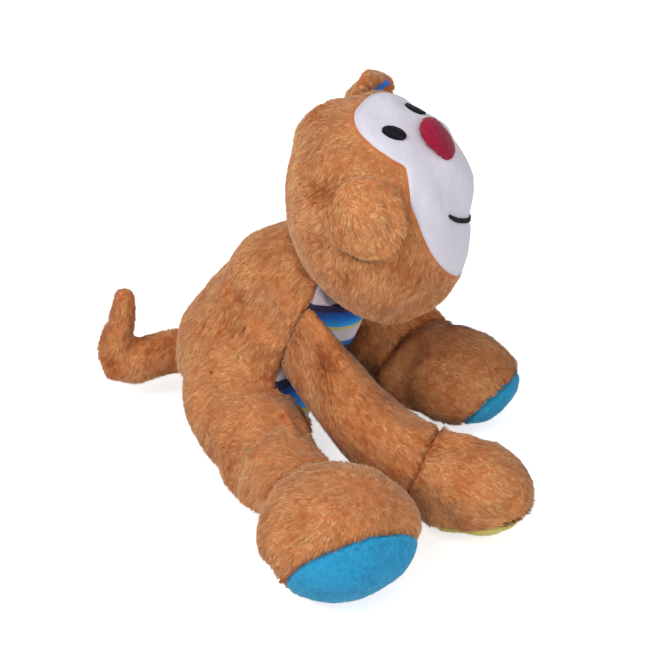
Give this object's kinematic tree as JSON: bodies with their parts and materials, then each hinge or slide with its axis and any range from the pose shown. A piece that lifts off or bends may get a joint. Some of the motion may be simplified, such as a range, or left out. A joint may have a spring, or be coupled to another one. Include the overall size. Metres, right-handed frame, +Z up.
{
  "type": "plush monkey dog toy",
  "caption": "Sitting plush monkey dog toy with a striped tummy, white face, coloured palms and soles, kinked tail and a squeaker in the belly.",
  "frame": {"origin": "centre of the flat seat on the floor", "axes": "+Z up, -Y the way the toy faces, +X the toy's left"},
  "size_m": [0.26, 0.1817, 0.146],
  "materials": {
    "plush_brown": "short pile",
    "plush_white": "short pile",
    "plush_red": "short pile",
    "plush_blue": "short pile",
    "plush_yellow": "short pile",
    "lining_blue": "smooth",
    "printed_stripes": "smooth print",
    "black_thread": "satin stitch",
    "stuffing": "loose fibre",
    "squeaker_vinyl": "satin",
    "reed_plastic": "matte"
  },
  "bodies": {
    "torso": {"torso_back": "plush_brown", "tummy_panel": "printed_stripes", "torso_stuffing": "stuffing", "squeaker_bladder": "squeaker_vinyl", "squeaker_reed": "reed_plastic"},
    "head": {"head_cover": "plush_brown", "face_panel": "plush_white", "head_stuffing": "stuffing", "nose": "plush_red", "eye_left": "black_thread", "eye_right": "black_thread", "smile": "black_thread"},
    "ear_left_flap": {"ear_left": "plush_brown", "ear_left_lining": "lining_blue"},
    "ear_right_flap": {"ear_right": "plush_brown", "ear_right_lining": "lining_blue"},
    "tail": {"tail_cover": "plush_brown", "tail_stuffing": "stuffing"},
    "arm_left": {"sleeve_left": "plush_brown", "hand_left": "plush_brown", "palm_left": "plush_blue", "arm_stuffing_left": "stuffing"},
    "leg_left_limb": {"leg_left": "plush_brown", "foot_left": "plush_brown", "sole_left": "plush_yellow", "leg_stuffing_left": "stuffing"},
    "arm_right": {"sleeve_right": "plush_brown", "hand_right": "plush_brown", "palm_right": "plush_yellow", "arm_stuffing_right": "stuffing"},
    "leg_right_limb": {"leg_right": "plush_brown", "foot_right": "plush_brown", "sole_right": "plush_blue", "leg_stuffing_right": "stuffing"}
  },
  "joints": [
    {"name": "neck_nod", "type": "hinge", "parent": "torso", "child": "head", "pos_m": [-0.006, -0.034, 0.076], "axis": [-1, 0, 0], "range_deg": [-10, 12]},
    {"name": "shoulder_right", "type": "hinge", "parent": "torso", "child": "arm_right", "pos_m": [-0.03, -0.03, 0.057], "axis": [-1, 0, 0], "range_deg": [0, 36]},
    {"name": "shoulder_left", "type": "hinge", "parent": "torso", "child": "arm_left", "pos_m": [0.026, -0.027, 0.057], "axis": [-1, 0, 0], "range_deg": [0, 36]},
    {"name": "hip_right", "type": "hinge", "parent": "torso", "child": "leg_right_limb", "pos_m": [-0.026, -0.002, 0.0195], "axis": [0, 0, -1], "range_deg": [0, 30]},
    {"name": "hip_left", "type": "hinge", "parent": "torso", "child": "leg_left_limb", "pos_m": [0.026, -0.002, 0.0195], "axis": [0, 0, 1], "range_deg": [-12, 12]},
    {"name": "tail_swing", "type": "hinge", "parent": "torso", "child": "tail", "pos_m": [0, 0.027, 0.0205], "axis": [0, 0, 1], "range_deg": [-25, 25]},
    {"name": "ear_right_fold", "type": "hinge", "parent": "head", "child": "ear_right_flap", "pos_m": [-0.04708, -0.0455, 0.11652], "axis": [-0.3019, -0.4238, -0.854], "range_deg": [0, 75]},
    {"name": "ear_left_fold", "type": "hinge", "parent": "head", "child": "ear_left_flap", "pos_m": [0.02837, -0.03385, 0.11596], "axis": [-0.3762, 0.2795, 0.8834], "range_deg": [-60, 10]}
  ]
}
